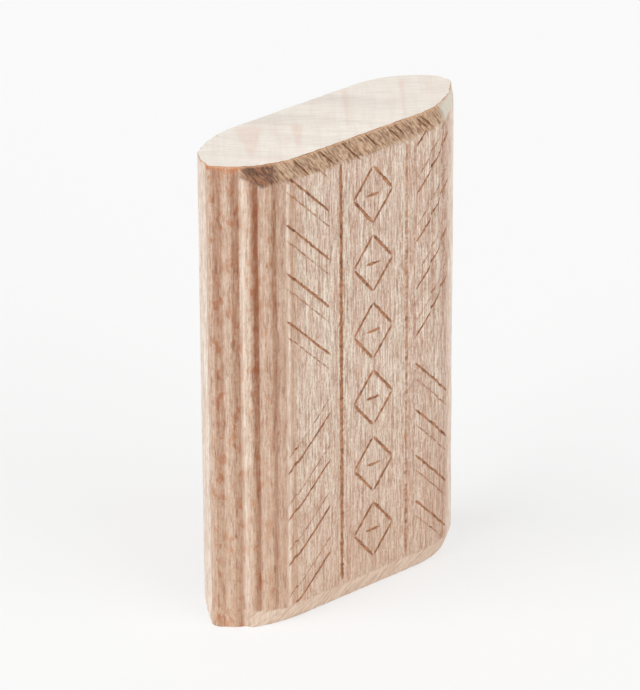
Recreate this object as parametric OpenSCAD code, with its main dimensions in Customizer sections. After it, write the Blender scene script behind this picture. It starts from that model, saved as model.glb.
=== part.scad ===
// Loose tenon: one solid piece of beech that joins two mortised boards.
// It stands on one end: length along +Z, width along X, thickness along Y.
// The origin is the middle of the lower end face, and the front broad face is towards -Y.

/* [Overall size] */
// Length along the grain, from end face to end face
tenon_length = 36; // [30:1:60]
// Width over the narrow edges, before the valleys between their ridges
tenon_width = 22; // [20:0.5:30]
// Thickness over the two broad faces
tenon_thickness = 8; // [7:0.5:10]

/* [Narrow edges] */
// Radius that turns each broad face over towards the narrow edge
shoulder_r = 6.5; // [6.2:0.1:8]
// Radius of the nose, in the middle of the narrow edge
nose_r = 2.4; // [1.8:0.1:2.8]
// Number of ridges from the middle of the nose to the broad face
ridge_count = 5; // [3:1:5]
// Distance from one ridge to the next, along the rounded edge
ridge_pitch = 1.3; // [1.1:0.05:1.4]
// Radius of the rounded top of a ridge
ridge_r = 1; // [0.8:0.05:1.2]
// Depth of the valleys between the ridges
ridge_depth = 0.16; // [0.08:0.02:0.24]

/* [Bevelled ends] */
// Depth of the bevels at both end faces
bevel_depth = 0.58; // [0.3:0.02:0.8]
// Length of the bevels at the upper end
bevel_len_top = 1.25; // [0.8:0.05:2.5]
// Length of the bevels at the lower end
bevel_len_bottom = 1.65; // [0.8:0.05:2.5]
// How much larger the corner radius of the end faces is than that of the shoulders
end_corner_extra = 0.5; // [0:0.1:1.5]
// The same for the front corner of the lower end towards -X, where the ridges run down to the end
foot_corner_extra = 4; // [0:0.5:4.5]

/* [Pressed pattern] */
// Depth to which the pattern is pressed into the broad faces
press_depth = 0.12; // [0.06:0.02:0.2]
// Width of a pressed line
line_w = 0.14; // [0.1:0.02:0.3]
// Offset of the pattern from the middle of the broad face
pattern_shift = 0.77; // [-1:0.01:1]
// Half the width of the band between the two long lines
band_half_w = 3; // [2.5:0.1:3.4]
// Distance from the middle of the pattern to the slanted strokes
stroke_start = 3.95; // [3.6:0.05:4.5]
// Width of each zone of slanted strokes
stroke_zone_w = 3.85; // [3:0.05:4.2]
// Slant of the strokes, from the width direction
stroke_angle = 45; // [35:1:55]
// Distance between one pair of strokes and the next
stroke_pitch = 3.7; // [3:0.1:6]
// Distance between the two strokes of a pair
stroke_gap = 1.2; // [0.8:0.1:1.8]
// Distance from mid-length to the first stroke
stroke_clear = 2.95; // [2:0.05:4]
// Width of a lozenge in the band
lozenge_w = 3.6; // [2.4:0.1:4.6]
// Length of a lozenge
lozenge_len = 4.4; // [3:0.1:8]
// Gap between one lozenge and the next
lozenge_gap = 0.9; // [0.4:0.1:3]
// Length of the dash inside a lozenge
dash_len = 1.4; // [0.6:0.1:1.8]

/* [Hidden] */
$fn = 96;
overlap = 0.01;
beech = [0.80, 0.69, 0.61];

half_l = tenon_length / 2;
half_w = tenon_width / 2;
half_t = tenon_thickness / 2;

// The outline of a narrow edge is two arcs that touch: the nose arc, whose centre is on the
// X axis, and the shoulder arc, which starts where the flat part of the broad face ends.
shoulder_cy = shoulder_r - half_t;
nose_cx = half_w - nose_r;
shoulder_cx = nose_cx - sqrt(pow(shoulder_r - nose_r, 2) - pow(shoulder_cy, 2));
touch_angle = atan2(shoulder_cy, nose_cx - shoulder_cx);
touch_x = shoulder_cx + shoulder_r * cos(touch_angle);
nose_arc = arc_length(nose_r, touch_angle);
edge_arc = nose_arc + arc_length(shoulder_r, 90 - touch_angle);

body_bottom = bevel_len_bottom;
body_top = tenon_length - bevel_len_top;
body_len = body_top - body_bottom;

// Half the width of the broad face, between the outermost ridges of the two edges
face_half_w = edge_point(ridge_count * ridge_pitch)[0];

stroke_len = stroke_zone_w / cos(stroke_angle);
stroke_mid = stroke_start + stroke_zone_w / 2;
stroke_pairs = floor((half_l - stroke_clear) / stroke_pitch) + 1;

lozenge_step = lozenge_len + lozenge_gap;
lozenge_count = floor((body_len - lozenge_gap) / lozenge_step);
lozenge_side = norm([lozenge_w, lozenge_len]) / 2;
lozenge_angle = atan2(lozenge_len, lozenge_w);

function arc_length(r, angle) = r * angle * PI / 180;
function arc_angle(r, len) = len / r * 180 / PI;

// Direction that the outline faces at a distance s from the middle of the nose
function edge_angle(s) =
    s < nose_arc ? arc_angle(nose_r, s) : min(90, touch_angle + arc_angle(shoulder_r, s - nose_arc));

// Point at a distance s from the middle of the nose, moved inwards by inset
function edge_point(s, inset = 0) =
    let (a = edge_angle(s), on_face = max(0, s - edge_arc))
    s < nose_arc
        ? [nose_cx + (nose_r - inset) * cos(a), (nose_r - inset) * sin(a)]
        : [
            shoulder_cx + (shoulder_r - inset) * cos(a) - on_face,
            (shoulder_r - inset) * sin(a) - shoulder_cy
        ];

// Depth that a bevel takes up from just before its start, so that its space overlaps the body's
function early_depth(len) = bevel_depth * (1 + overlap / len);

// Both halves of what is drawn on the +X side
module both_edges() {
    children();
    mirror([1, 0, 0]) children();
}

// Cross-section without its ridges, moved inwards by inset
module smooth_outline(inset = 0) {
    square([2 * shoulder_cx, 2 * (half_t - inset)], center = true);
    both_edges() {
        intersection() {
            translate([shoulder_cx, shoulder_cy]) circle(r = shoulder_r - inset);
            translate([shoulder_cx, -shoulder_cy]) circle(r = shoulder_r - inset);
            translate([shoulder_cx - overlap, -half_t])
                square([touch_x - shoulder_cx + overlap, tenon_thickness]);
        }
        translate([nose_cx, 0]) circle(r = nose_r - inset);
    }
}

// Ridges on one quarter of the outline
module quarter_ridges(inset = 0) {
    for (i = [0 : ridge_count - 1])
        translate(edge_point((i + 0.5) * ridge_pitch, ridge_r)) circle(r = ridge_r - inset);
}

// Cross-section with its ridges, moved inwards by inset
module section(inset = 0) {
    smooth_outline(ridge_depth + inset);
    intersection() {
        smooth_outline(inset);
        square([2 * (face_half_w - inset), tenon_thickness], center = true);
    }
    for (flip = [0, 1])
        mirror([0, flip]) both_edges() quarter_ridges(inset);
}

// Cone whose side is the bevel of one shoulder, and gets shallower towards the nose
module shoulder_bevel(side, len, extra) {
    corner_r = shoulder_r + extra;
    translate([shoulder_cx, side * (half_t - bevel_depth - corner_r), -overlap])
        cylinder(h = len + overlap, r1 = corner_r + early_depth(len), r2 = corner_r);
}

// Space between the bevels of the two shoulders of the +X edge
module edge_space(len, front_extra) {
    intersection() {
        shoulder_bevel(1, len, end_corner_extra);
        shoulder_bevel(-1, len, front_extra);
        translate([shoulder_cx - overlap, -half_t, -overlap])
            cube([shoulder_r + overlap, tenon_thickness, len + overlap]);
    }
}

// Space that a bevelled end fills, from just before z = 0, where the bevels start, to the end face
module end_space(len, left_front_extra) {
    inner = half_t - bevel_depth;
    outer = inner + early_depth(len);
    rotate([90, 0, 90])
        linear_extrude(height = 2 * shoulder_cx, center = true)
            polygon([[-outer, -overlap], [outer, -overlap], [inner, len], [-inner, len]]);
    edge_space(len, end_corner_extra);
    mirror([1, 0, 0]) edge_space(len, left_front_extra);
}

// Space of the part between the bevels, less a margin at both ends
module body_space(margin = 0) {
    translate([-half_w, -half_t, body_bottom + margin])
        cube([tenon_width, tenon_thickness, body_len - 2 * margin]);
}

// Tenon before the pattern is pressed into it
module blank() {
    intersection() {
        linear_extrude(height = tenon_length) section();
        union() {
            translate([0, 0, body_top]) end_space(bevel_len_top, end_corner_extra);
            body_space();
            translate([0, 0, body_bottom]) mirror([0, 0, 1])
                end_space(bevel_len_bottom, foot_corner_extra);
        }
    }
}

// Thin plate that presses one line of a length into the broad face
module line_plate(len) {
    cube([len, tenon_thickness, line_w], center = true);
}

// Slanted strokes, in pairs that point towards mid-length from both ends
module strokes() {
    for (half = [-1, 1], side = [-1, 1], i = [0 : stroke_pairs - 1], gap = [0, stroke_gap])
        translate([side * stroke_mid, 0, half * (stroke_clear + i * stroke_pitch + gap)])
            rotate([0, -half * side * stroke_angle, 0]) line_plate(stroke_len);
}

module long_lines() {
    for (side = [-1, 1])
        translate([side * band_half_w, 0, 0]) rotate([0, 90, 0]) line_plate(tenon_length);
}

// Row of lozenges, each with a dash inside
module lozenges() {
    for (i = [0 : lozenge_count - 1])
        translate([0, 0, (body_top + body_bottom) / 2 - half_l
                + (i - (lozenge_count - 1) / 2) * lozenge_step]) {
            rotate([0, 90, 0]) line_plate(dash_len);
            for (sx = [-1, 1], sz = [-1, 1])
                translate([sx * lozenge_w / 4, 0, sz * lozenge_len / 4])
                    rotate([0, sx * sz * lozenge_angle, 0]) line_plate(lozenge_side);
        }
}

// Pattern on both broad faces, between the bevels
module pressed_pattern() {
    intersection() {
        for (turn = [0, 180])
            rotate([0, 0, turn])
                translate([pattern_shift, -half_t, half_l]) {
                    strokes();
                    long_lines();
                    lozenges();
                }
        body_space(overlap);
    }
}

module tenon() {
    color(beech) {
        difference() {
            blank();
            pressed_pattern();
        }
        // The wood below the pressed lines
        translate([0, 0, body_bottom]) linear_extrude(height = body_len) section(press_depth);
    }
}

tenon();
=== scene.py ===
"""Looks of the loose tenon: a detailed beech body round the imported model, its light and its camera.

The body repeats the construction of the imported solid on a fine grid: edges of two arcs with
ridges, bevelled ends and a pressed pattern. To that it adds what real beech shows: uneven ridges,
torn fibres, a crushed upper bevel and pressed lines of uneven depth and width.
Its finish is one solid wood, whose threads, rings, pores and rays run through the whole body.
Sizes are in millimetres up to the last step, which turns the mesh into metres.
"""

import math

import bmesh
import bpy
import numpy as np
from mathutils import Matrix, Vector


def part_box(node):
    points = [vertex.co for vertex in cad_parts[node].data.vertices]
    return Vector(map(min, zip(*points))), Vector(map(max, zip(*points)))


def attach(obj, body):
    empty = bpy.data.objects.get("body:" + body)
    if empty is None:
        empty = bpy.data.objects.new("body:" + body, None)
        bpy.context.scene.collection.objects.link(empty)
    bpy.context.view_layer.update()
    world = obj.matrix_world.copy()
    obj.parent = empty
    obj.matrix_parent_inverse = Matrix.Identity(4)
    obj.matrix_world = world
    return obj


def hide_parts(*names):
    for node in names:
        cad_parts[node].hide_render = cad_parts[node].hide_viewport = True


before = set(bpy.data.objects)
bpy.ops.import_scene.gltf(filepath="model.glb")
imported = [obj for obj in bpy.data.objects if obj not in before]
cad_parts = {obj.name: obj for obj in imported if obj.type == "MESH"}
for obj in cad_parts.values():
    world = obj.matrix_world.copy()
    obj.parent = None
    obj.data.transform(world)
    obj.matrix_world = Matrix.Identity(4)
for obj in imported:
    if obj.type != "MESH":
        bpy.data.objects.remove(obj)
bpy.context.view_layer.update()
tenon_low, tenon_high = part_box("tenon")

MM = 0.001
SEED = 7

# ---------------------------------------------------------------------------
# Body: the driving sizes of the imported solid
# ---------------------------------------------------------------------------
LENGTH = round((tenon_high.z - tenon_low.z) / MM, 3)
HALF_T = round((tenon_high.y - tenon_low.y) / MM, 3) / 2
HALF_W = 11.0
SHOULDER_R = 6.5
NOSE_R = 2.4
RIDGE_COUNT = 5
RIDGE_PITCH = 1.3
RIDGE_R = 1.0
RIDGE_DEPTH = 0.16
BEVEL_DEPTH = 0.58
BEVEL_TOP = 1.25
BEVEL_BOTTOM = 1.65
# Radius of the corners of an end face: front left, front right, back left, back right
TOP_CORNERS = (7.0, 7.0, 8.0, 7.0)
FOOT_CORNERS = (10.5, 6.6, 6.5, 7.0)

SHOULDER_CY = SHOULDER_R - HALF_T
NOSE_CX = HALF_W - NOSE_R
SHOULDER_CX = NOSE_CX - math.sqrt((SHOULDER_R - NOSE_R) ** 2 - SHOULDER_CY ** 2)
TOUCH = math.atan2(SHOULDER_CY, NOSE_CX - SHOULDER_CX)
NOSE_ARC = NOSE_R * TOUCH
EDGE_ARC = NOSE_ARC + SHOULDER_R * (math.pi / 2 - TOUCH)
QUARTER = EDGE_ARC + SHOULDER_CX
AROUND = 4 * QUARTER
RIDGED = RIDGE_COUNT * RIDGE_PITCH

# Width of the step from the ridges up to a broad face, and of the worn rims of the end faces
FACE_STEP = 0.22
ARRIS = 0.05
# How far the ridges sway sideways and are worn, and how high the fibres of the faces stand
RIDGE_SWAY = 0.05
RIDGE_WEAR = 0.035
FIBRE_RELIEF = 0.014
# Crushed upper bevel: height of its fibres, reach below the bevel and raggedness of its border
CRUSH_RELIEF = 0.11
CRUSH_REACH = 0.25
RAGGED_EDGE = 0.22
# Torn corner of the upper bevel: distance from the middle of the nose, and half width
TORN_PLACE = 4.0
TORN_REACH = 1.1
# How far the ridge at the front of each nose stands out, and the foot of the left one
NOSE_SWELL = 0.16
FOOT_SWELL = 0.3

# Brown of each ridge from the nose on, partly the wood's own and partly painted shade where it turns
# from the key light: on its crest, on its far flank and in the valley behind it
RIDGE_BROWN_AND_SHADE = ((0.22, 0.58, 0.52), (0.2, 0.62, 0.62), (0.04, 0.56, 0.95), (0.22, 0.36, 0.72),
                (0.36, 0.0, 0.36))
# Painted highlight of each ridge where it faces the key light: on its crest, next to the valley
# before it, and on its far flank
RIDGE_HIGHLIGHTS = ((0.2, 0.0), (0.2, 0.0), (0.55, 0.0), (0.15, 0.0), (0.15, 0.45))
# Brown and painted shade of the ridges on the other two quarters, as a share of the others'
SOFT_SHARE = 0.3

# Grid of the body's mesh: cells across the ridges and the faces, rows of the body and the bevels
EDGE_CELL = 0.13
FACE_CELL = 0.16
BODY_ROW = 0.27
BEVEL_ROW = 0.1
# Bend at which an edge of the mesh is shaded as sharp
SHARP_BEND = math.radians(35)

# ---------------------------------------------------------------------------
# Pressed pattern
# ---------------------------------------------------------------------------
PATTERN_SHIFT = 0.77
BAND_HALF_W = 3.0
STROKE_START = 3.95
STROKE_ZONE_W = 3.85
STROKE_PITCH = 3.7
STROKE_GAP = 1.2
STROKE_CLEAR = 2.95
LOZENGE_W = 3.6
LOZENGE_LEN = 4.4
LOZENGE_GAP = 0.9
DASH_LEN = 1.4
# Depth from which a line shows as fully pressed
PRESS_DEPTH = 0.12
# Width and depth of a line: the two strokes of a pair, a side of a lozenge and a split
STRONG_STROKE = (0.21, 0.08)
FAINT_STROKE = (0.15, 0.04)
LOZENGE_LINE = (0.25, 0.09)
CRACK_LINE = (0.16, 0.1)
# Long lines: distance from the middle of the pattern, width and depth
LONG_LINES = ((-BAND_HALF_W + 0.04, 0.34, 0.09), (BAND_HALF_W + 0.12, 0.36, 0.04),
              (STROKE_START - 0.1, 0.14, 0.03))
# Splits in the crushed bevel: place of the upper end across the face, and reach down the bevel
CRACKS = ((-6.1, 1.3), (-3.7, 1.1), (-1.65, 1.5), (0.5, 0.9), (2.5, 1.1), (3.1, 0.9), (5.1, 1.1),
          (5.6, 1.0))
# How far a split leans aside for each millimetre down the bevel
CRACK_LEAN = 0.85

# ---------------------------------------------------------------------------
# Camera: the photograph's view of the middle of the tenon
# ---------------------------------------------------------------------------
# In degrees; azimuth 0 is in front of the -Y face and 90 on the +X side
VIEW_AZIMUTH = -40.41
VIEW_ELEVATION = 26.68
VIEW_ROLL = -0.315
# Distance from the middle, and the camera's shift to its right and upwards
VIEW_DISTANCE = 363.3
VIEW_ASIDE = (-0.590, 0.417)
LENS = 266.3
SENSOR = 36.0


def ease(x):
    """Smooth step from 0 to 1 as x goes from 0 to 1."""
    x = np.clip(x, 0, 1)
    return x * x * (3 - 2 * x)


def relief(p, z, cell_p, cell_z, seed):
    """Smooth random field from -1 to 1 over the side of the body, with cells of that size."""
    around, up = max(1, round(AROUND / cell_p)), int(LENGTH / cell_z) + 3
    lattice = np.random.default_rng(SEED + seed).uniform(-1, 1, (around, up))
    u, v = p / AROUND * around, np.clip(z / cell_z, 0, up - 2)
    iu, iv = np.floor(u).astype(int), np.floor(v).astype(int)
    fu, fv = ease(u - iu), ease(v - iv)
    here, beside = iu % around, (iu + 1) % around
    below = lattice[here, iv] * (1 - fu) + lattice[beside, iv] * fu
    above = lattice[here, iv + 1] * (1 - fu) + lattice[beside, iv + 1] * fu
    return below * (1 - fv) + above * fv


# ---------------------------------------------------------------------------
# Outline and surface. p is the distance round the outline from the middle of the nose on the +X
# side, seen from above against the clock; s is the distance from the middle of the nearer nose.
# ---------------------------------------------------------------------------
def unfold(p):
    """(s, side in X, side in Y) of the place p on the outline."""
    p = np.mod(p, AROUND)
    quarter = np.minimum((p / QUARTER).astype(int), 3)
    s = np.where(quarter % 2 == 0, p - quarter * QUARTER, (quarter + 1) * QUARTER - p)
    side_x = np.where((quarter == 0) | (quarter == 3), 1.0, -1.0)
    side_y = np.where(quarter < 2, 1.0, -1.0)
    return s, side_x, side_y


def outline(p):
    """(x, y, normal x, normal y) of the smooth outline at p."""
    s, side_x, side_y = unfold(p)
    on_nose = s < NOSE_ARC
    on_shoulder = np.minimum(math.pi / 2, TOUCH + (s - NOSE_ARC) / SHOULDER_R)
    angle = np.where(on_nose, s / NOSE_R, on_shoulder)
    radius = np.where(on_nose, NOSE_R, SHOULDER_R)
    centre_x = np.where(on_nose, NOSE_CX, SHOULDER_CX - np.maximum(0, s - EDGE_ARC))
    centre_y = np.where(on_nose, 0, -SHOULDER_CY)
    normal_x, normal_y = side_x * np.cos(angle), side_y * np.sin(angle)
    x = side_x * centre_x + radius * normal_x
    y = side_y * centre_y + radius * normal_y
    return x, y, normal_x, normal_y


def locate(x, y):
    """(p, depth below the smooth outline) of points of the cross-section near its border."""
    ax, ay = np.abs(x), np.abs(y)
    nose_angle = np.arctan2(ay, ax - NOSE_CX)
    shoulder_angle = np.arctan2(ay + SHOULDER_CY, ax - SHOULDER_CX)
    on_nose = (nose_angle < TOUCH) & (ax > NOSE_CX)
    on_face = ax < SHOULDER_CX
    s = np.where(on_nose, NOSE_R * nose_angle, NOSE_ARC + SHOULDER_R * (shoulder_angle - TOUCH))
    s = np.where(on_face, QUARTER - ax, s)
    depth = np.where(on_nose, NOSE_R - np.hypot(ax - NOSE_CX, ay),
                     SHOULDER_R - np.hypot(ax - SHOULDER_CX, ay + SHOULDER_CY))
    depth = np.where(on_face, HALF_T - ay, depth)
    left, front = x < 0, y < 0
    p = np.where(front, np.where(left, 2 * QUARTER + s, 4 * QUARTER - s),
                 np.where(left, 2 * QUARTER - s, s))
    return p, depth


def ridge_inset(s):
    """Depth of the ridged edge below the smooth outline."""
    from_crest = np.mod(s, RIDGE_PITCH) - RIDGE_PITCH / 2
    curvature = 1 / RIDGE_R - np.where(s < NOSE_ARC, 1 / NOSE_R, 1 / SHOULDER_R)
    ridge = np.minimum(RIDGE_DEPTH, from_crest ** 2 / 2 * curvature)
    step = RIDGE_DEPTH * (1 - ease((s - RIDGED) / FACE_STEP))
    return np.where(s < RIDGED, ridge, step)


def bevel_side(p, t, corners):
    """Depth of a bevel as t goes from 0 at its start to 1 at the end face.

    The corners of the bevels are cones, which get shallower towards the nose.
    """
    s, side_x, side_y = unfold(p)
    corner_r = np.choose((side_x > 0) + 2 * (side_y > 0), corners)
    x, y, normal_x, normal_y = outline(p)
    from_x = x - side_x * (SHOULDER_CX - np.maximum(0, s - EDGE_ARC))
    from_y = y - side_y * (HALF_T - BEVEL_DEPTH - corner_r)
    radius = corner_r + BEVEL_DEPTH * (1 - np.clip(t, 0, 1))
    along = from_x * normal_x + from_y * normal_y
    return np.maximum(0, along - np.sqrt(along ** 2 - from_x ** 2 - from_y ** 2 + radius ** 2))


def bevel_inset(p, z):
    """Depth of the bevels at both ends."""
    bottom = bevel_side(p, (BEVEL_BOTTOM - z) / BEVEL_BOTTOM, FOOT_CORNERS)
    return np.maximum(bottom, bevel_side(p, (z - LENGTH + BEVEL_TOP) / BEVEL_TOP, TOP_CORNERS))


def crushed(p, z):
    """Share of the crushed upper bevel, from 0 to 1, with its ragged lower border."""
    s, side_x, side_y = unfold(p)
    reach = BEVEL_TOP + CRUSH_REACH + RAGGED_EDGE * relief(p, z, 0.35, 0.5, 11) + 0.6 * torn(p)
    kept = 1 - (side_x * side_y > 0) * (1 - ease((s - 2.3) / 0.6))
    return kept * ease(bevel_side(p, (z - LENGTH + reach) / reach, TOP_CORNERS) / 0.12)


def torn(p):
    """Share of the torn corner of the upper bevel, in front of the -X edge."""
    s, side_x, side_y = unfold(p)
    return np.exp(-((s - TORN_PLACE) / TORN_REACH) ** 2) * ((side_x < 0) & (side_y < 0))


def swell(p, z):
    """How far the ridge at the front of each nose stands out, most of all at the left foot."""
    s, side_x, side_y = unfold(p)
    ahead = -side_y * s
    ridge = NOSE_SWELL * np.exp(-((ahead - 0.3) / 0.4) ** 2)
    foot = FOOT_SWELL * np.exp(-((ahead - 0.9) / 0.8) ** 2) * ease(1 - z / 1.8)
    return ridge + foot * (side_x < 0)


def ridge_share(p):
    """1 on the ridges and 0 on the broad faces."""
    s, _, _ = unfold(p)
    return ease((RIDGED + 0.4 - s) / 0.3)


def ridge_place(p, z):
    """Distance from the middle of the nose, measured to ridges that sway a little."""
    s, _, _ = unfold(p)
    return s + RIDGE_SWAY * ridge_share(p) * relief(p, z, 2.6, 5.0, 1)


def surface_inset(p, z):
    """Depth of the finished side below the smooth outline, before the pattern is pressed."""
    wear = RIDGE_WEAR * ridge_share(p) * relief(p, z, 0.9, 2.2, 2)
    shape = np.maximum(ridge_inset(ridge_place(p, z)) + wear, bevel_inset(p, z))
    fibres = relief(p, z, 0.42, 3.1, 3) + 0.8 * relief(p, z, 0.17, 1.4, 4)
    crush = relief(p, z, 0.2, 0.34, 5) + 0.7 * relief(p, z, 0.14, 0.16, 6)
    loose = CRUSH_RELIEF * crushed(p, z) * (1 + 0.6 * torn(p))
    return shape + FIBRE_RELIEF * fibres / 2 + loose * (0.5 + crush) / 3.4 - swell(p, z)


def surface_point(p, z):
    x, y, normal_x, normal_y = outline(p)
    inset = surface_inset(p, z)
    return np.stack([x - inset * normal_x, y - inset * normal_y, z], -1)


# ---------------------------------------------------------------------------
# Mesh of the body
# ---------------------------------------------------------------------------
def even_steps(start, end, cell):
    """Points from start up to, but not including, end, about one cell apart."""
    return np.linspace(start, end, max(2, round((end - start) / cell) + 1))[:-1]


def grid_columns():
    """Places round the outline."""
    s = np.concatenate([
        even_steps(0, RIDGED, EDGE_CELL), even_steps(RIDGED, RIDGED + FACE_STEP, 0.08),
        even_steps(RIDGED + FACE_STEP, QUARTER, FACE_CELL),
    ])
    folded = np.concatenate([s, 2 * QUARTER - np.append(s[1:], QUARTER)[::-1]])
    return np.concatenate([folded, folded + 2 * QUARTER])


def grid_rows():
    """Heights of the rows, close together at the bevels."""
    lower, upper = BEVEL_BOTTOM + 0.1, LENGTH - BEVEL_TOP - CRUSH_REACH - RAGGED_EDGE
    return np.concatenate([
        [0.0, ARRIS], even_steps(ARRIS + BEVEL_ROW, lower, BEVEL_ROW * 1.4),
        even_steps(lower, upper, BODY_ROW), even_steps(upper, LENGTH - ARRIS, BEVEL_ROW),
        [LENGTH - ARRIS, LENGTH],
    ])


def blank_mesh():
    """Closed mesh of the tenon before the pattern is pressed: side, lower end, upper end."""
    columns, rows = grid_columns(), grid_rows()
    p, z = np.meshgrid(columns, rows)
    points = surface_point(p, z)
    _, _, normal_x, normal_y = outline(columns)
    for row in (0, -1):
        uneven = relief(columns, np.full_like(columns, 5.0), 0.5, 1.0, 20 + row)
        wear_and_highlight = ARRIS * (0.75 + 0.5 * uneven)
        points[row, :, 0] -= wear_and_highlight * normal_x
        points[row, :, 1] -= wear_and_highlight * normal_y
    around, up = len(columns), len(rows)
    here = np.arange(around)
    beside = (here + 1) % around
    sides = [np.stack([here, beside, beside + around, here + around], -1) + row * around
             for row in range(up - 1)]
    faces = np.concatenate(sides).tolist()
    faces.append(here[::-1].tolist())
    faces.append((here + (up - 1) * around).tolist())
    mesh = bpy.data.meshes.new("tenon_body")
    mesh.from_pydata(points.reshape(-1, 3).tolist(), [], faces)
    return mesh


# ---------------------------------------------------------------------------
# Pressed lines: each is cut with a wedge that follows the surface
# ---------------------------------------------------------------------------
# How far a wedge stands above the surface, its floor as a share of its width, and its step
WEDGE_LIFT = 0.045
WEDGE_FLOOR = 0.5
WEDGE_STEP = 0.16
# How far a line sways sideways, the length over which its ends fade, and the shortest stroke
LINE_SWAY = 0.012
LINE_FADE = 0.35
MIN_LINE = 1.4
rng = np.random.default_rng(SEED)


def face_place(x):
    """p of the point x of the front broad face."""
    ax = np.abs(x)
    shoulder = np.arccos(np.clip((ax - SHOULDER_CX) / SHOULDER_R, 0, 1))
    s = np.where(ax < SHOULDER_CX, QUARTER - ax, NOSE_ARC + SHOULDER_R * (shoulder - TOUCH))
    return np.where(x < 0, 2 * QUARTER + s, 4 * QUARTER - s)


def line(start, end, width, depth, turn):
    """Points, width and depth of one pressed line from start to end, both (x, z) on a broad face.

    turn is 0 for the front face and 1 for the back face, where the pattern is turned half round.
    """
    length = math.dist(start, end)
    count = max(5, int(length / WEDGE_STEP))
    t = np.linspace(0, 1, count)
    sway = LINE_SWAY * rng.standard_normal(count)
    across = np.array([-(end[1] - start[1]), end[0] - start[0]]) / length
    x = start[0] + (end[0] - start[0]) * t + across[0] * sway
    z = start[1] + (end[1] - start[1]) * t + across[1] * sway
    fade = ease(np.minimum(t, 1 - t) * length / LINE_FADE)
    widths = width * (0.45 + 0.55 * fade) * rng.uniform(0.7, 1.25, count)
    depths = depth * (0.2 + 0.8 * fade) * rng.uniform(0.6, 1.3, count)
    return face_place(x) + turn * 2 * QUARTER, z, widths, depths


def wedge(p, z, width, depth):
    """Vertices and faces of the closed wedge that cuts one pressed line."""
    x, y, normal_x, normal_y = outline(p)
    inset = surface_inset(p, z)
    centre = np.stack([x - inset * normal_x, y - inset * normal_y, z], -1)
    normal = np.stack([normal_x, normal_y, 0 * z], -1)
    round_way = np.stack([-normal_y, normal_x, 0 * z], -1)
    along = np.stack([np.gradient(p), np.gradient(z)], -1)
    along /= np.linalg.norm(along, axis=1, keepdims=True)
    across = -along[:, 1:] * round_way + along[:, :1] * np.array([0, 0, 1.0])
    wide = width / 2 * (1 + (1 - WEDGE_FLOOR) * WEDGE_LIFT / depth)
    profile = [(-wide, WEDGE_LIFT), (wide, WEDGE_LIFT),
               (width / 2 * WEDGE_FLOOR, -depth), (-width / 2 * WEDGE_FLOOR, -depth)]
    corners = [centre + across * w[:, None] + normal * np.broadcast_to(h, w.shape)[:, None]
               for w, h in profile]
    vertices = np.stack(corners, 1).reshape(-1, 3)
    faces = [(0, 1, 2, 3), tuple(4 * (len(p) - 1) + k for k in (3, 2, 1, 0))]
    for i in range(0, 4 * (len(p) - 1), 4):
        faces += [(i + k, i + (k + 1) % 4, i + 4 + (k + 1) % 4, i + 4 + k) for k in range(4)]
    return vertices, faces


def cutter(lines):
    """One object of all these wedges, none of which meets another."""
    vertices, faces, count = [], [], 0
    for p, z, width, depth in lines:
        points, sides = wedge(p, z, width, depth)
        vertices.append(points)
        faces += [tuple(count + k for k in face) for face in sides]
        count += len(points)
    mesh = bpy.data.meshes.new("cutter")
    mesh.from_pydata(np.concatenate(vertices).tolist(), [], faces)
    shape = bmesh.new()
    shape.from_mesh(mesh)
    bmesh.ops.recalc_face_normals(shape, faces=shape.faces)
    shape.to_mesh(mesh)
    shape.free()
    made = bpy.data.objects.new("cutter", mesh)
    bpy.context.scene.collection.objects.link(made)
    return made


def cut(body, tool):
    """Takes the tool's shape out of the body and removes the tool."""
    modifier = body.modifiers.new("cut", "BOOLEAN")
    modifier.operation, modifier.solver, modifier.object = "DIFFERENCE", "MANIFOLD", tool
    depsgraph = bpy.context.evaluated_depsgraph_get()
    result = bpy.data.meshes.new_from_object(body.evaluated_get(depsgraph))
    body.modifiers.clear()
    body.data = result
    bpy.data.objects.remove(tool)


def strokes(turn):
    """Slanted strokes in pairs, one strong and one faint."""
    pairs = int((LENGTH / 2 - STROKE_CLEAR) / STROKE_PITCH) + 1
    made = []
    for half in (-1, 1):
        for side in (-1, 1):
            for i in range(pairs):
                inner = STROKE_CLEAR + i * STROKE_PITCH
                strong, faint = sorted((inner, inner + STROKE_GAP), key=lambda d: side * d)
                made += stroke(half, side, strong, STRONG_STROKE, turn)
                made += stroke(half, side, faint, FAINT_STROKE, turn)
    return made


def stroke(half, side, distance, size, turn):
    """One slanted stroke with its middle at that distance from mid-length, if it fits the face."""
    reach = STROKE_ZONE_W / 2
    middle = STROKE_START + reach
    inner = (PATTERN_SHIFT + side * (middle - reach), LENGTH / 2 + half * (distance - reach))
    outer = (PATTERN_SHIFT + side * (middle + reach), LENGTH / 2 + half * (distance + reach))
    start, end = clip_line(inner, outer)
    return [line(start, end, *size, turn)] if math.dist(start, end) > MIN_LINE else []


def clip_line(start, end):
    """The part of a line that lies between the bevels."""
    low, high = BEVEL_BOTTOM - 0.25, LENGTH - BEVEL_TOP + 0.1
    start, end = np.array(start), np.array(end)
    reach = end - start
    t = np.clip(np.sort((np.array([low, high]) - start[1]) / reach[1]), 0, 1)
    return tuple(start + reach * t[0]), tuple(start + reach * t[1])


def long_lines(turn):
    low, high = BEVEL_BOTTOM + 0.1, LENGTH - BEVEL_TOP - 0.05
    return [line((PATTERN_SHIFT + x, low), (PATTERN_SHIFT + x, high), width, depth, turn)
            for x, width, depth in LONG_LINES]


def lozenge_centres():
    low, high = BEVEL_BOTTOM, LENGTH - BEVEL_TOP
    step = LOZENGE_LEN + LOZENGE_GAP
    count = int((high - low - LOZENGE_GAP) / step)
    return [(low + high) / 2 + (i - (count - 1) / 2) * step for i in range(count)]


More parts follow.
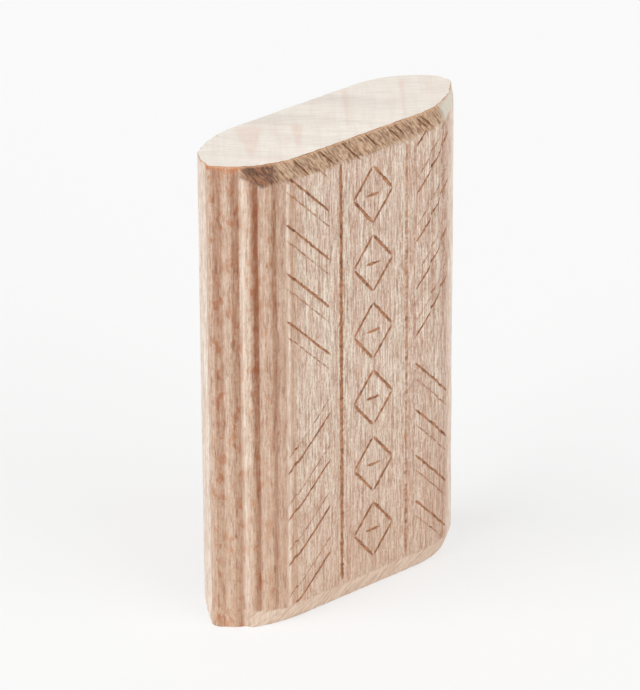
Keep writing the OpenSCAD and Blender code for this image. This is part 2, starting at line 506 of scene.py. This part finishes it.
def lozenges(turn, rising):
    """The rising or the falling sides of the lozenges, and with the rising ones the dashes."""
    made = []
    for z in lozenge_centres():
        for side in (-1, 1):
            tip = (PATTERN_SHIFT, z + side * LOZENGE_LEN / 2)
            corner = (PATTERN_SHIFT + side * (-1 if rising else 1) * LOZENGE_W / 2, z)
            made.append(line(tip, corner, *LOZENGE_LINE, turn))
        if rising:
            left, right = PATTERN_SHIFT - DASH_LEN / 2, PATTERN_SHIFT + DASH_LEN / 2
            made.append(line((left, z), (right, z), *LOZENGE_LINE, turn))
    return made


def bevel_cracks(turn):
    """Splits across the crushed bevel, all of which slant like its fibres."""
    made = []
    aside = CRACK_LEAN * (1 - 2 * turn)
    for x, reach in CRACKS:
        high = LENGTH - rng.uniform(0.06, 0.15)
        made.append(line((x, high), (x + aside * reach, high - reach), *CRACK_LINE, turn))
    return made


def drop_crumbs(mesh):
    """Removes what the cuts left loose, so that one body stays."""
    shape = bmesh.new()
    shape.from_mesh(mesh)
    lowest = min(shape.verts, key=lambda vertex: vertex.co.z)
    kept, front = {lowest}, [lowest]
    while front:
        vertex = front.pop()
        beside = {edge.other_vert(vertex) for edge in vertex.link_edges} - kept
        kept |= beside
        front += beside
    loose = [vertex for vertex in shape.verts if vertex not in kept]
    bmesh.ops.delete(shape, geom=loose, context="VERTS")
    shape.to_mesh(mesh)
    shape.free()


def press_pattern(body):
    first, second = [], []
    for turn in (0, 1):
        first += strokes(turn) + lozenges(turn, True) + bevel_cracks(turn)
        second += long_lines(turn) + lozenges(turn, False)
    cut(body, cutter(first))
    cut(body, cutter(second))
    drop_crumbs(body.data)


# ---------------------------------------------------------------------------
# Marks on the body that its finish reads
# ---------------------------------------------------------------------------
def mark(mesh, name, values):
    attribute = mesh.attributes.new(name, "FLOAT", "POINT")
    attribute.data.foreach_set("value", values.astype(np.float32))


def mark_body(mesh):
    """Writes what the finish needs to know about each point of the side.

    The ridges take their warm brown, orange patches, painted shade and painted highlight in full on
    the quarters where x and y have the same sign.
    """
    co = np.zeros(len(mesh.vertices) * 3, np.float32)
    mesh.vertices.foreach_get("co", co)
    x, y, z = co.reshape(-1, 3).astype(float).T
    p, depth = locate(x, y)
    s, side_x, side_y = unfold(p)
    crush, brown_and_shaded_quarters = crushed(p, z), side_x * side_y > 0
    flat = 1 - ease((bevel_inset(p, z) - 0.03) / 0.1)
    bare = (1 - brown_and_shaded_quarters) * (1 - ease((s - 4.5) / 0.9)) * (side_y < 0)
    mark(mesh, "pressed", np.clip((depth - surface_inset(p, z) - 0.01) / PRESS_DEPTH, 0, 1.5))
    mark(mesh, "ridge", ridge_place(p, z) / RIDGE_PITCH)
    foot = np.maximum((1 - flat) * (z < LENGTH / 2),
                      ease((1.35 - z) / 0.2) * ease((s - 2.8) / 0.2))
    # Where the ridges take their full brown and painted shade; the other quarters take a share of it
    mark(mesh, "brown_and_shaded_quarters", brown_and_shaded_quarters * (1 - foot) * (1 - crush))
    mark(mesh, "soft", (1 - brown_and_shaded_quarters) * flat)
    mark(mesh, "under_rim_band", brown_and_shaded_quarters * ease((3.0 - s) / 0.3) * ease((z - LENGTH + 0.6) / 0.5))
    mark(mesh, "foot", foot)
    # Painted highlight on the noses of the other two quarters, which face the lights
    mark(mesh, "pale", (1 - brown_and_shaded_quarters) * ease((4.4 - s) / 1.2))
    mark(mesh, "crushed", crush * (1 - bare))
    mark(mesh, "bare", crush * bare)
    mark(mesh, "torn", torn(p))


def use_end_grain(mesh):
    """Gives the two flat ends the second material."""
    for polygon in mesh.polygons:
        if abs(polygon.normal.z) > 0.99:
            polygon.material_index = 1


# ---------------------------------------------------------------------------
# Materials
# ---------------------------------------------------------------------------
GRAIN_TURN = math.radians(37.7)
RING_WIDTH = 1.37
# Turn about Y of the saw marks on the foot, and of the crushed fibres
SAW_TURN = math.radians(50)
CRUMB_TURN = math.radians(32)
# Cell of the ray flecks across the rings, along them and along the grain; and their size in it
FLECK_CELL = (2.4, 0.3, 1.8)
FLECK_SIZE = 0.3
# Patches of torn pink wood on the end faces: broad end, tip and width at the broad end
PINK_PATCHES = (((-4.9, 2.7), (-8.2, -1.6), 1.7), ((-2.1, 0.8), (-4.7, -2.4), 0.8),
                ((8.5, 1.9), (4.1, -3.6), 0.3), ((4.3, 3.2), (0.0, -2.3), 0.35))


def colour(red, green, blue):
    """Scene colour of an sRGB colour from 0 to 255."""
    channels = [c / 255 for c in (red, green, blue)]
    linear = [c / 12.92 if c <= 0.04045 else ((c + 0.055) / 1.055) ** 2.4 for c in channels]
    return (*linear, 1.0)


class Graph:
    """The node tree of one material. Each call adds a node and returns its output socket."""

    def __init__(self, name):
        self.material = bpy.data.materials.new(name)
        self.material.use_nodes = True
        self.nodes = self.material.node_tree.nodes
        self.shader = self.nodes["Principled BSDF"]

    def feed(self, socket, value):
        if isinstance(value, bpy.types.NodeSocket):
            self.material.node_tree.links.new(value, socket)
        else:
            socket.default_value = value

    def add(self, kind, inputs, output=0, **settings):
        node = self.nodes.new(kind)
        for name, value in settings.items():
            setattr(node, name, value)
        for name, value in inputs.items():
            self.feed(node.inputs[name], value)
        return node.outputs[output]

    def math(self, operation, a, b=0.0, clamp=False):
        return self.add("ShaderNodeMath", {0: a, 1: b}, operation=operation, use_clamp=clamp)

    def mix(self, factor, a, b, blend="MIX"):
        return self.add("ShaderNodeMix", {0: factor, 6: a, 7: b}, output=2, data_type="RGBA",
                        blend_type=blend)

    def share(self, mask, amount):
        return self.math("MULTIPLY", mask, amount)

    def lay(self, tone, shade, mask, amount):
        """Lays a shade on the tone, with a strength of this amount where the mask is 1."""
        return self.mix(self.share(mask, amount), tone, shade)

    def span(self, value, low, high):
        """0 below low, 1 above high and smooth between them; low may be the larger of the two."""
        return self.add("ShaderNodeMapRange", {"Value": value, "From Min": low, "From Max": high},
                        interpolation_type="SMOOTHSTEP")

    def noise(self, vector, detail=2.0, roughness=0.5, distortion=0.0):
        return self.add("ShaderNodeTexNoise", {"Vector": vector, "Scale": 1.0, "Detail": detail,
                                               "Roughness": roughness, "Distortion": distortion})

    def stretch(self, vector, factors):
        return self.add("ShaderNodeVectorMath", {0: vector, 1: factors}, operation="MULTIPLY")

    def curve(self, place, stops):
        """Smooth curve through (place, value) stops, whose places rise from 0 to 1."""
        node = self.nodes.new("ShaderNodeValToRGB")
        self.feed(node.inputs[0], place)
        ramp = node.color_ramp
        ramp.interpolation = "EASE"
        ramp.elements.remove(ramp.elements[1])
        ramp.elements[0].position = stops[0][0]
        ramp.elements[0].color = (stops[0][1],) * 3 + (1.0,)
        for position, value in stops[1:]:
            ramp.elements.new(position).color = (value,) * 3 + (1.0,)
        return node.outputs[0]

    def attribute(self, name):
        return self.add("ShaderNodeAttribute", {}, output=2, attribute_name=name)

    def object_mm(self):
        place = self.add("ShaderNodeTexCoord", {}, output=3)
        return self.stretch(place, (1 / MM, 1 / MM, 1 / MM))

    def turned_mm(self, rotation):
        return self.add("ShaderNodeMapping", {"Vector": self.object_mm(), "Rotation": rotation})

    def wood_mm(self):
        """Place in the wood, in millimetres: X across the rings, Y along them, Z along the grain."""
        return self.turned_mm((0, 0, GRAIN_TURN))

    def axis(self, vector, index):
        return self.add("ShaderNodeSeparateXYZ", {0: vector}, output=index)

    def bump(self, height, distance, strength=1.0, normal=None):
        inputs = {"Height": height, "Distance": distance * MM, "Strength": strength}
        if normal:
            inputs["Normal"] = normal
        return self.add("ShaderNodeBump", inputs)


def ray_flecks(graph, wood):
    """Mask of the rays: thin upright lenses of wood that run across the rings."""
    ragged = graph.noise(graph.stretch(wood, (3.0, 9.0, 3.0)), detail=2.0)
    spread = graph.stretch(wood, tuple(1 / cell for cell in FLECK_CELL))
    distance = graph.add("ShaderNodeTexVoronoi", {"Vector": spread, "Scale": 1.0, "Randomness": 1.0})
    distance = graph.math("ADD", distance, graph.math("MULTIPLY", ragged, 0.3))
    return graph.span(distance, FLECK_SIZE + 0.15, FLECK_SIZE)


def ring_shade(graph, wood):
    """From 0 just after a ring's border to 1 at its end."""
    waver = graph.noise(graph.stretch(wood, (0.2, 0.2, 0.03)), detail=1.0)
    across = graph.math("ADD", graph.axis(wood, 0), graph.math("MULTIPLY", waver, 1.5))
    part = graph.math("FRACT", graph.math("DIVIDE", across, RING_WIDTH))
    return graph.math("POWER", part, 3.0)


def long_grain(graph, wood):
    """Colour of planed beech, and the height of its threads for the relief."""
    broad = graph.noise(graph.stretch(wood, (0.9, 0.9, 0.04)), detail=2.0)
    threads = graph.noise(graph.stretch(wood, (6.5, 6.5, 0.26)), detail=2.0, roughness=0.6)
    fine = graph.noise(graph.stretch(wood, (8.0, 8.0, 0.9)), detail=2.0, roughness=0.7)
    specks = graph.noise(graph.stretch(wood, (8.0, 8.0, 5.0)), detail=1.0)
    tint = graph.noise(graph.stretch(wood, (3.0, 3.0, 0.3)), detail=1.0)
    pores = graph.span(graph.noise(graph.stretch(wood, (15.0, 15.0, 1.6)), detail=1.0), 0.6, 0.7)

    tone = graph.mix(graph.span(broad, 0.38, 0.62), colour(210, 181, 163), colour(217, 197, 178))
    tone = graph.lay(tone, colour(206, 199, 180), graph.span(tint, 0.52, 0.7), 0.4)
    tone = graph.lay(tone, colour(184, 147, 125), graph.span(threads, 0.5, 0.34), 0.75)
    tone = graph.lay(tone, colour(236, 223, 207), graph.span(threads, 0.53, 0.67), 0.75)
    tone = graph.lay(tone, colour(164, 124, 100), graph.span(fine, 0.49, 0.34), 0.66)
    tone = graph.lay(tone, colour(244, 234, 220), graph.span(fine, 0.54, 0.66), 0.6)
    tone = graph.lay(tone, colour(168, 128, 104), graph.span(specks, 0.46, 0.34), 0.28)
    tone = graph.lay(tone, colour(242, 231, 216), graph.span(specks, 0.56, 0.66), 0.28)
    tone = graph.lay(tone, colour(192, 158, 140), ring_shade(graph, wood), 0.2)
    tone = graph.lay(tone, colour(150, 108, 86), pores, 0.45)
    brown = graph.span(graph.axis(graph.object_mm(), 2), 0.45 * LENGTH, 0.05 * LENGTH)
    tone = graph.lay(tone, colour(192, 148, 118), brown, 0.3)
    height = graph.math("ADD", threads, fine)
    return tone, graph.math("SUBTRACT", height, graph.share(pores, 0.5))


def across_ridges(graph, phases, values):
    """Curve over the ridges: the values of each at these phases, from one valley to the next."""
    span = RIDGE_COUNT + 0.5
    stops = [((ridge + phase) / span, value)
             for ridge, row in enumerate(values) for phase, value in zip(phases, row)]
    stops.append(((RIDGE_COUNT + 0.1) / span, 0.0))
    return graph.curve(graph.math("DIVIDE", graph.attribute("ridge"), span), stops)


def ridge_brown_and_shade(graph, uneven):
    """How brown the ridges are at each place across them: the wood's own brown, and painted shade on
    the far flanks and in the valleys.
    """
    rows = [(crest, crest, flank, valley, valley) for crest, flank, valley in RIDGE_BROWN_AND_SHADE]
    shade = across_ridges(graph, (0.0, 0.42, 0.6, 0.74, 0.9), rows)
    where = graph.math("MAXIMUM", graph.attribute("brown_and_shaded_quarters"),
                       graph.share(graph.attribute("soft"), SOFT_SHARE))
    return graph.math("MULTIPLY", graph.math("MULTIPLY", shade, uneven), where, clamp=True)


def ridge_tone(graph, wood, tone, fibres):
    """Colours the ridges: warm, with orange patches, painted highlights on the crests and brown
    valleys that are partly painted shade.
    """
    on_ridge = graph.span(graph.attribute("ridge"), RIDGE_COUNT + 0.2, RIDGE_COUNT)
    brown_and_shaded_quarters = graph.math("MULTIPLY", graph.attribute("brown_and_shaded_quarters"), on_ridge)
    blocks = graph.noise(graph.stretch(wood, (1.8, 1.8, 1.0)), detail=2.0, roughness=0.6)
    rungs = graph.noise(graph.stretch(wood, (1.5, 1.5, 5.0)), detail=1.0)
    tone = graph.lay(tone, colour(224, 190, 160), brown_and_shaded_quarters, 0.38)
    patch = graph.math("MULTIPLY", graph.span(blocks, 0.54, 0.66), brown_and_shaded_quarters)
    patch = graph.math("MULTIPLY", patch, graph.span(graph.attribute("ridge"), RIDGE_COUNT + 1, 1.5))
    tone = graph.lay(tone, colour(202, 142, 102), patch, 0.7)
    dashes = graph.span(graph.noise(graph.stretch(wood, (7.0, 7.0, 0.9)), detail=1.0), 0.4, 0.3)
    tone = graph.lay(tone, colour(150, 104, 80), graph.math("MULTIPLY", dashes, brown_and_shaded_quarters), 0.5)
    rung = graph.math("MULTIPLY", graph.span(rungs, 0.55, 0.65), brown_and_shaded_quarters)
    tone = graph.lay(tone, colour(190, 140, 108), rung, 0.15)
    uneven = graph.math("ADD", 0.55, graph.share(blocks, 0.9))
    upper = graph.span(graph.axis(graph.object_mm(), 2), 0.0, 0.8 * LENGTH)
    uneven = graph.math("MULTIPLY", uneven, graph.math("ADD", 0.7, graph.share(upper, 0.36)))
    # Painted shade, partly the wood's own brown: the far flanks and valleys are darkened with this
    # brown
    tone = graph.mix(ridge_brown_and_shade(graph, uneven), tone, colour(184, 144, 120), blend="MULTIPLY")

    # Painted highlight: pale cream on the crests that face the key light and on the noses of the
    # other quarters
    wear_and_highlight = graph.mix(graph.span(fibres, 0.75, 1.2), colour(226, 204, 186), colour(248, 238, 226))
    rows = [(light / 3, light, 0.2 * light, flank, 0.0) for light, flank in RIDGE_HIGHLIGHTS]
    crest = across_ridges(graph, (0.0, 0.12, 0.35, 0.62, 0.84), rows)
    crest = graph.math("MULTIPLY", crest, brown_and_shaded_quarters)
    lit = graph.math("MAXIMUM", crest, graph.share(graph.attribute("pale"), 0.65))
    return foot_tone(graph, graph.mix(lit, tone, wear_and_highlight))


def foot_tone(graph, tone):
    """Lays the bare lower bevel, with its slanted saw marks, on the colour."""
    turned = graph.turned_mm((0, SAW_TURN, 0))
    sawn = graph.noise(graph.stretch(turned, (0.6, 0.6, 8.0)), detail=3.0, roughness=0.65)
    bare = graph.mix(graph.span(sawn, 0.38, 0.58), colour(208, 180, 157), colour(236, 219, 201))
    return graph.lay(tone, bare, graph.attribute("foot"), 0.65)


def crumbs(graph):
    """Crushed fibres of the upper bevel, which lie slanted: their colour and height."""
    turned = graph.turned_mm((0, CRUMB_TURN, 0))
    grain = graph.noise(graph.stretch(turned, (8.0, 2.0, 1.5)), detail=3.0, roughness=0.7)
    coarse = graph.noise(graph.stretch(graph.object_mm(), (2.2, 2.2, 1.6)), detail=3.0, roughness=0.6)
    tone = graph.mix(graph.span(grain, 0.34, 0.62), colour(122, 82, 56), colour(210, 178, 146))
    tone = graph.lay(tone, colour(178, 152, 124), graph.span(coarse, 0.5, 0.66), 0.3)
    tone = graph.lay(tone, colour(156, 106, 74), graph.span(coarse, 0.48, 0.3), 0.45)
    strands = graph.span(graph.math("ADD", grain, graph.share(coarse, 0.4)), 0.78, 0.64)
    snarl = graph.mix(strands, colour(154, 104, 72), colour(84, 48, 28))
    return graph.mix(graph.span(graph.attribute("torn"), 0.0, 0.6), tone, snarl), grain


def crush_tone(graph, tone, crumb_tone):
    """Lays the crushed bevel, its bare right end and the orange-brown band below the rim on the
    colour.
    """
    tone = graph.lay(tone, crumb_tone, graph.attribute("crushed"), 0.9)
    tone = graph.lay(tone, colour(218, 214, 198), graph.attribute("bare"), 0.75)
    upright = graph.axis(graph.object_mm(), 2)
    patchy = graph.noise(graph.stretch(graph.object_mm(), (2.6, 2.6, 3.5)), detail=2.0)
    # Orange-brown band just below the rim of the nose ridges
    under_rim_band = graph.math("MULTIPLY", graph.attribute("under_rim_band"), graph.span(patchy, 0.3, 0.62))
    tone = graph.mix(under_rim_band, tone, colour(190, 118, 74))
    rim = graph.span(upright, LENGTH - 0.18, LENGTH - 0.06)
    return graph.lay(tone, colour(222, 174, 136), rim, 0.45)


def press_tone(graph, tone):
    """Lays the burnt brown of the pressed lines on the colour."""
    spots = graph.noise(graph.stretch(graph.object_mm(), (2.6, 2.6, 2.6)), detail=3.0)
    burnt = graph.mix(graph.span(spots, 0.36, 0.6), colour(192, 140, 104), colour(160, 112, 82))
    burnt = graph.lay(burnt, colour(122, 82, 58), graph.span(spots, 0.58, 0.68), 0.7)
    burnt = graph.lay(burnt, colour(122, 84, 58), graph.attribute("crushed"), 0.6)
    return graph.mix(graph.span(graph.attribute("pressed"), 0.0, 0.4), tone, burnt)


def beech_side():
    """Long-grain beech: planed faces, ridges, the crushed bevel and pressed lines."""
    graph = Graph("beech")
    wood = graph.wood_mm()
    tone, height = long_grain(graph, wood)
    flecks = ray_flecks(graph, wood)
    tone = graph.lay(tone, colour(199, 152, 128), flecks, 0.3)
    tone = ridge_tone(graph, wood, tone, height)
    crumb_tone, crumb_height = crumbs(graph)
    tone = press_tone(graph, crush_tone(graph, tone, crumb_tone))
    loose = graph.math("MULTIPLY", crumb_height, graph.attribute("crushed"))
    height = graph.math("ADD", height, graph.share(loose, 2.5))
    graph.feed(graph.shader.inputs["Base Color"], tone)
    graph.feed(graph.shader.inputs["Roughness"], 0.68)
    graph.feed(graph.shader.inputs["Specular IOR Level"], 0.25)
    graph.feed(graph.shader.inputs["Normal"], graph.bump(height, 0.025))
    return graph.material


def pink_patch(graph, broad_end, tip, width):
    """Mask of a patch of torn pink wood that tapers from its broad end to its tip."""
    reach = math.dist(broad_end, tip)
    turn = math.atan2(tip[1] - broad_end[1], tip[0] - broad_end[0])
    inputs = {"Vector": graph.object_mm(), "Location": (*broad_end, 0), "Rotation": (0, 0, turn)}
    place = graph.add("ShaderNodeMapping", inputs, vector_type="TEXTURE")
    ragged = graph.noise(graph.stretch(graph.object_mm(), (1.2, 2.0, 0.0)), detail=3.0)
    along = graph.math("DIVIDE", graph.axis(place, 0), reach)
    across = graph.math("ABSOLUTE", graph.axis(place, 1))
    half = graph.math("MULTIPLY", graph.math("SUBTRACT", 1.1, along), width / 2)
    border = graph.math("ADD", graph.math("SUBTRACT", across, half), graph.share(ragged, 0.5))
    inside = graph.math("MULTIPLY", graph.span(border, 0.45, 0.1), graph.span(along, -0.1, 0.1))
    return graph.math("MULTIPLY", inside, graph.span(along, 1.1, 0.8))


def beech_end():
    """Sawn end grain: rings, fine rays across them, and pink patches, on a pale base that is partly
    painted light from above.
    """
    graph = Graph("beech_end_grain")
    wood = graph.wood_mm()
    rays = graph.noise(graph.stretch(wood, (0.4, 7.0, 0.3)), detail=2.0, roughness=0.6)
    cross = graph.noise(graph.stretch(wood, (5.0, 0.5, 0.3)), detail=1.0)
    clouds = graph.noise(graph.stretch(wood, (0.45, 0.3, 0.1)), detail=1.0)
    pores = graph.noise(graph.stretch(wood, (9.0, 9.0, 1.0)), detail=1.0)

    # Painted highlight: the base is paler than beech end grain, for the brightness of the top face
    # under the light from above
    tone = graph.mix(graph.span(rays, 0.35, 0.62), colour(238, 228, 217), colour(245, 238, 228))
    tone = graph.lay(tone, colour(232, 220, 207), graph.span(cross, 0.52, 0.66), 0.25)
    tone = graph.lay(tone, colour(236, 216, 203), graph.span(clouds, 0.56, 0.68), 0.25)
    tone = graph.lay(tone, colour(222, 198, 180), ring_shade(graph, wood), 0.12)
    tone = graph.lay(tone, colour(206, 180, 160), graph.span(pores, 0.6, 0.72), 0.12)
    for broad_end, tip, width in PINK_PATCHES:
        patch = pink_patch(graph, broad_end, tip, width)
        tone = graph.lay(tone, colour(232, 202, 188), patch, 0.4)
    graph.feed(graph.shader.inputs["Base Color"], tone)
    graph.feed(graph.shader.inputs["Roughness"], 0.75)
    graph.feed(graph.shader.inputs["Specular IOR Level"], 0.2)
    graph.feed(graph.shader.inputs["Normal"], graph.bump(rays, 0.006))
    return graph.material


# ---------------------------------------------------------------------------
# Floor, light and camera
# ---------------------------------------------------------------------------
BACKGROUND = colour(248, 248, 248)
# Floor: half its side in metres, how much of the shadow on it shows, and how bright the rest is
FLOOR_HALF = 3.0
SHADOW_SHARE = 0.4
PLAIN_LEVEL = 1.045
WORLD_LIGHT = 0.5
# Wide, distant softboxes: name, azimuth and elevation in degrees, strength, spread in degrees
SUNS = (("key", -100, 40, 1.6, 50), ("fill", 15, 20, 1.3, 60))


def direction(azimuth, elevation):
    """Unit vector towards a place at these angles in degrees, as for the camera."""
    a, e = math.radians(azimuth), math.radians(elevation)
    return Vector((math.sin(a) * math.cos(e), -math.cos(a) * math.cos(e), math.sin(e)))


def make_floor():
    """Pale floor that the camera sees as the plain background, with a soft shadow left on it."""
    mesh = bpy.data.meshes.new("floor")
    corners = [(-1, -1), (1, -1), (1, 1), (-1, 1)]
    mesh.from_pydata([(x * FLOOR_HALF, y * FLOOR_HALF, 0) for x, y in corners], [], [(0, 1, 2, 3)])
    floor = bpy.data.objects.new("floor", mesh)
    bpy.context.scene.collection.objects.link(floor)
    graph = Graph("floor")
    rays = graph.nodes.new("ShaderNodeLightPath")
    plain = graph.add("ShaderNodeEmission", {"Color": BACKGROUND, "Strength": PLAIN_LEVEL})
    graph.feed(graph.shader.inputs["Base Color"], BACKGROUND)
    graph.feed(graph.shader.inputs["Roughness"], 1.0)
    graph.feed(graph.shader.inputs["Specular IOR Level"], 0.0)
    seen = graph.math("ADD", rays.outputs["Is Camera Ray"], rays.outputs["Is Glossy Ray"])
    seen = graph.math("ADD", seen, rays.outputs["Is Transmission Ray"], clamp=True)
    surface = graph.add("ShaderNodeMixShader", {0: graph.share(seen, 1 - SHADOW_SHARE),
                                                1: graph.shader.outputs[0], 2: plain})
    graph.feed(graph.nodes["Material Output"].inputs["Surface"], surface)
    mesh.materials.append(graph.material)


def make_world():
    """Even studio light from all round; the camera sees the plain background."""
    world = bpy.data.worlds.new("studio")
    bpy.context.scene.world = world
    world.use_nodes = True
    nodes, links = world.node_tree.nodes, world.node_tree.links
    rays = nodes.new("ShaderNodeLightPath")
    seen = nodes.new("ShaderNodeBackground")
    seen.inputs["Color"].default_value = BACKGROUND
    mixed = nodes.new("ShaderNodeMixShader")
    light = nodes["Background"]
    light.inputs["Color"].default_value = (1, 1, 1, 1)
    light.inputs["Strength"].default_value = WORLD_LIGHT
    links.new(rays.outputs["Is Camera Ray"], mixed.inputs[0])
    links.new(light.outputs[0], mixed.inputs[1])
    links.new(seen.outputs[0], mixed.inputs[2])
    links.new(mixed.outputs[0], nodes["World Output"].inputs["Surface"])


def make_sun(name, azimuth, elevation, strength, spread):
    lamp = bpy.data.lights.new(name, "SUN")
    lamp.energy, lamp.angle = strength, math.radians(spread)
    sun = bpy.data.objects.new(name, lamp)
    bpy.context.scene.collection.objects.link(sun)
    sun.rotation_euler = direction(azimuth, elevation).to_track_quat("Z", "Y").to_euler()


def make_camera():
    azimuth, roll = math.radians(VIEW_AZIMUTH), math.radians(VIEW_ROLL)
    back = direction(VIEW_AZIMUTH, VIEW_ELEVATION)
    right = Vector((math.cos(azimuth), math.sin(azimuth), 0))
    up = back.cross(right)
    cos, sin = math.cos(roll), math.sin(roll)
    right, up = cos * right + sin * up, cos * up - sin * right
    middle = Vector((0, 0, LENGTH / 2))
    place = middle + VIEW_DISTANCE * back + VIEW_ASIDE[0] * right + VIEW_ASIDE[1] * up
    data = bpy.data.cameras.new("camera")
    data.lens, data.sensor_width = LENS, SENSOR
    camera = bpy.data.objects.new("camera", data)
    bpy.context.scene.collection.objects.link(camera)
    turned = Matrix((right, up, back)).transposed().to_4x4()
    camera.matrix_world = Matrix.Translation(place * MM) @ turned
    bpy.context.scene.camera = camera


def make_tenon():
    body = bpy.data.objects.new("tenon_beech", blank_mesh())
    bpy.context.scene.collection.objects.link(body)
    press_pattern(body)
    mesh = body.data
    mark_body(mesh)
    mesh.materials.clear()
    mesh.materials.append(beech_side())
    mesh.materials.append(beech_end())
    use_end_grain(mesh)
    mesh.transform(Matrix.Scale(MM, 4))
    mesh.polygons.foreach_set("use_smooth", [True] * len(mesh.polygons))
    mesh.set_sharp_from_angle(angle=SHARP_BEND)
    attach(body, "root")
    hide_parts("tenon")
    return body


make_floor()
make_world()
for sun in SUNS:
    make_sun(*sun)
make_camera()
tenon = make_tenon()
triangles = sum(len(polygon.vertices) - 2 for polygon in tenon.data.polygons)
print("triangles", triangles)

bpy.context.scene.view_settings.view_transform = "Standard"
